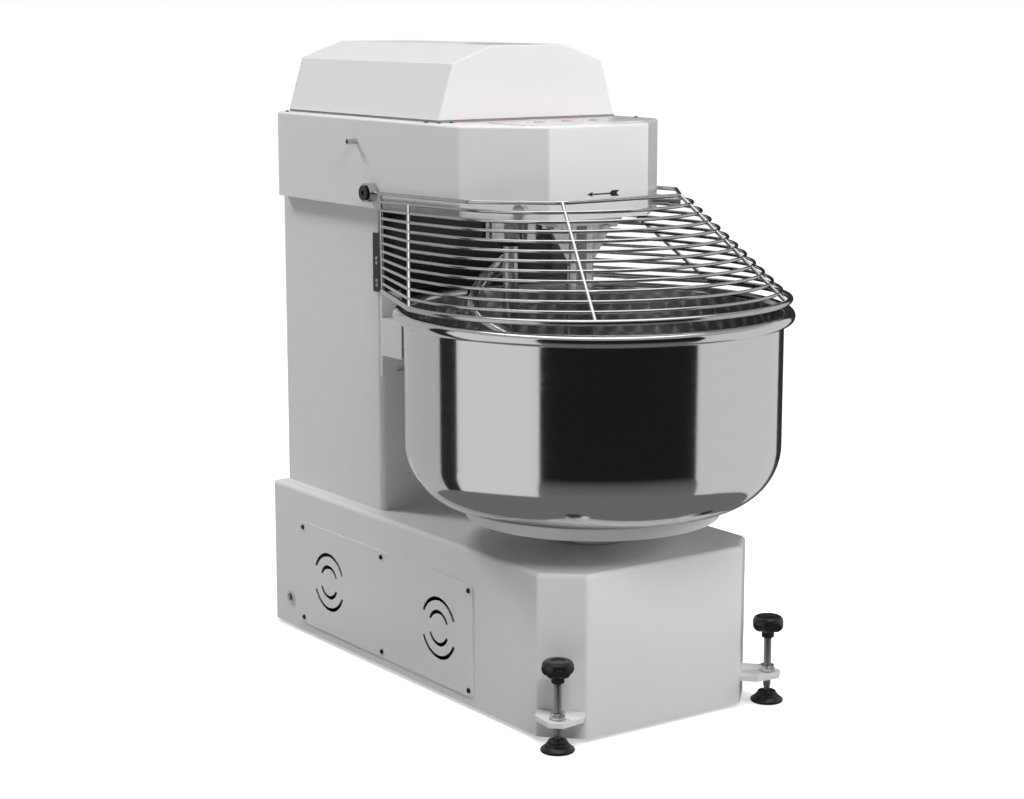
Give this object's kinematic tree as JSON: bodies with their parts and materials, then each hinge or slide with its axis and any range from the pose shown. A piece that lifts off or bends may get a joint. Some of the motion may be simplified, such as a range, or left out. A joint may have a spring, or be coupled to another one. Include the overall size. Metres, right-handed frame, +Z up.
{
  "type": "spiral dough mixer",
  "caption": "Floor-standing spiral dough mixer with a turning bowl, spiral hook, breaker bar, hinged wire guard and levelling feet.",
  "frame": {"origin": "on the floor under the middle of the machine's box", "axes": "+Z up, the front of the machine faces -Y, +X to the machine's left as seen from behind"},
  "size_m": [0.8199, 1.2839, 1.347],
  "materials": {
    "white_paint": "satin white powder coat",
    "polished_steel": "polished stainless steel",
    "chrome_wire": "bright plated wire",
    "plain_steel": "plain machined steel",
    "cast_iron": "grey cast iron",
    "black_paint": "satin black",
    "black_plastic": "moulded black plastic",
    "grey_plastic": "moulded light grey plastic",
    "panel_film": "light grey membrane film",
    "black_rubber": "black rubber",
    "seal_rubber": "dark grey seal rubber"
  },
  "bodies": {
    "frame": {"base_shell": "white_paint", "side_access_panel": "white_paint", "column_shell": "white_paint", "rear_cover": "white_paint", "head_shell": "white_paint", "hood": "white_paint", "roller_covers": "white_paint", "roller_brackets": "white_paint", "foot_tabs": "white_paint", "breaker_bar": "polished_steel", "spiral_seal_cap": "polished_steel", "guard_stops": "chrome_wire", "casing_screws": "chrome_wire", "guard_post_caps": "plain_steel", "base_floor": "plain_steel", "head_floor": "plain_steel", "breaker_bolts": "plain_steel", "bowl_bearings": "plain_steel", "spiral_bearings": "plain_steel", "roller_pins": "plain_steel", "wheel_forks": "plain_steel", "bowl_bearing_housing": "cast_iron", "bowl_motor": "cast_iron", "spiral_bearing_housing": "cast_iron", "spiral_motor": "cast_iron", "rear_shield": "black_paint", "guard_pivot_bolts": "black_paint", "electrical_box": "grey_plastic", "cable_grommet": "grey_plastic", "control_panel": "panel_film", "spiral_shaft_seal": "black_rubber", "bowl_belt": "black_rubber", "spiral_belts": "black_rubber", "hood_seal": "seal_rubber"},
    "bowl": {"bowl": "polished_steel", "bowl_support": "white_paint", "bowl_shaft": "plain_steel", "bowl_pulley": "cast_iron"},
    "bowl_motor_drive": {"bowl_motor_pulley": "cast_iron"},
    "spiral": {"spiral_hook": "polished_steel", "spiral_shaft": "plain_steel", "spiral_pulley": "cast_iron"},
    "spiral_motor_drive": {"spiral_motor_pulley": "cast_iron"},
    "guard": {"guard_cage": "chrome_wire"},
    "left_roller": {"left_roller": "black_plastic"},
    "right_roller": {"right_roller": "black_plastic"},
    "left_foot": {"left_foot_pad": "black_plastic"},
    "left_screw": {"left_foot_screw": "plain_steel", "left_foot_knob": "black_plastic"},
    "right_foot": {"right_foot_pad": "black_plastic"},
    "right_screw": {"right_foot_screw": "plain_steel", "right_foot_knob": "black_plastic"},
    "rear_wheels": {"rear_wheels": "black_rubber", "rear_axle": "plain_steel"},
    "front_wheels": {"front_wheels": "black_rubber", "front_axle": "plain_steel"},
    "start_key": {"start_key": "grey_plastic"},
    "stop_key": {"stop_key": "grey_plastic"},
    "speed_key": {"speed_key": "grey_plastic"}
  },
  "joints": [
    {"name": "bowl_spin", "type": "hinge", "parent": "frame", "child": "bowl", "pos_m": [0, -0.232, 0.42], "axis": [0, 0, 1], "continuous": true},
    {"name": "bowl_motor_spin", "type": "hinge", "parent": "frame", "child": "bowl_motor_drive", "pos_m": [0, 0.328, 0.1], "axis": [0, 0, 1], "continuous": true},
    {"name": "spiral_spin", "type": "hinge", "parent": "frame", "child": "spiral", "pos_m": [-0.07, -0.037, 1], "axis": [0, 0, 1], "continuous": true},
    {"name": "spiral_motor_spin", "type": "hinge", "parent": "frame", "child": "spiral_motor_drive", "pos_m": [0, 0.418, 1], "axis": [0, 0, 1], "continuous": true},
    {"name": "guard_hinge", "type": "hinge", "parent": "frame", "child": "guard", "pos_m": [0, 0.205, 1.0375], "axis": [-1, 0, 0], "range_deg": [0, 115]},
    {"name": "left_roller_spin", "type": "hinge", "parent": "frame", "child": "left_roller", "pos_m": [-0.182, 0.13851, 0.72], "axis": [0, 0, 1], "continuous": true},
    {"name": "right_roller_spin", "type": "hinge", "parent": "frame", "child": "right_roller", "pos_m": [0.182, 0.13851, 0.72], "axis": [0, 0, 1], "continuous": true},
    {"name": "rear_wheels_spin", "type": "hinge", "parent": "frame", "child": "rear_wheels", "pos_m": [0, 0.572, 0.035], "axis": [1, 0, 0], "continuous": true},
    {"name": "front_wheels_spin", "type": "hinge", "parent": "frame", "child": "front_wheels", "pos_m": [0, -0.383, 0.038], "axis": [1, 0, 0], "continuous": true},
    {"name": "left_foot_slide", "type": "slide", "parent": "frame", "child": "left_foot", "axis": [0, 0, 1], "range_m": [-0.0452, 0.0282]},
    {"name": "left_screw_turn", "type": "hinge", "parent": "left_foot", "child": "left_screw", "pos_m": [-0.27098, -0.48098, 0.1], "axis": [0, 0, 1], "range_deg": [-8100, 5040]},
    {"name": "right_foot_slide", "type": "slide", "parent": "frame", "child": "right_foot", "axis": [0, 0, 1], "range_m": [-0.0452, 0.0282]},
    {"name": "right_screw_turn", "type": "hinge", "parent": "right_foot", "child": "right_screw", "pos_m": [0.27098, -0.48098, 0.1], "axis": [0, 0, 1], "range_deg": [-8100, 5040]},
    {"name": "start_key_press", "type": "slide", "parent": "frame", "child": "start_key", "axis": [0, 0, -1], "range_m": [0, 0.0015], "stiffness_N_per_m": 800, "springref_m": -0.001},
    {"name": "stop_key_press", "type": "slide", "parent": "frame", "child": "stop_key", "axis": [0, 0, -1], "range_m": [0, 0.0015], "stiffness_N_per_m": 800, "springref_m": -0.001},
    {"name": "speed_key_press", "type": "slide", "parent": "frame", "child": "speed_key", "axis": [0, 0, -1], "range_m": [0, 0.0015], "stiffness_N_per_m": 800, "springref_m": -0.001}
  ],
  "couplings": [
    {"joint": "bowl_motor_spin", "follows": "bowl_spin", "ratio": 4.2644},
    {"joint": "spiral_motor_spin", "follows": "spiral_spin", "ratio": 3.0194},
    {"joint": "left_roller_spin", "follows": "bowl_spin", "ratio": -15.5},
    {"joint": "right_roller_spin", "follows": "bowl_spin", "ratio": -15.5},
    {"joint": "left_foot_slide", "follows": "left_screw_turn", "m_per_rad": 0.00031831},
    {"joint": "right_foot_slide", "follows": "right_screw_turn", "m_per_rad": 0.00031831}
  ]
}
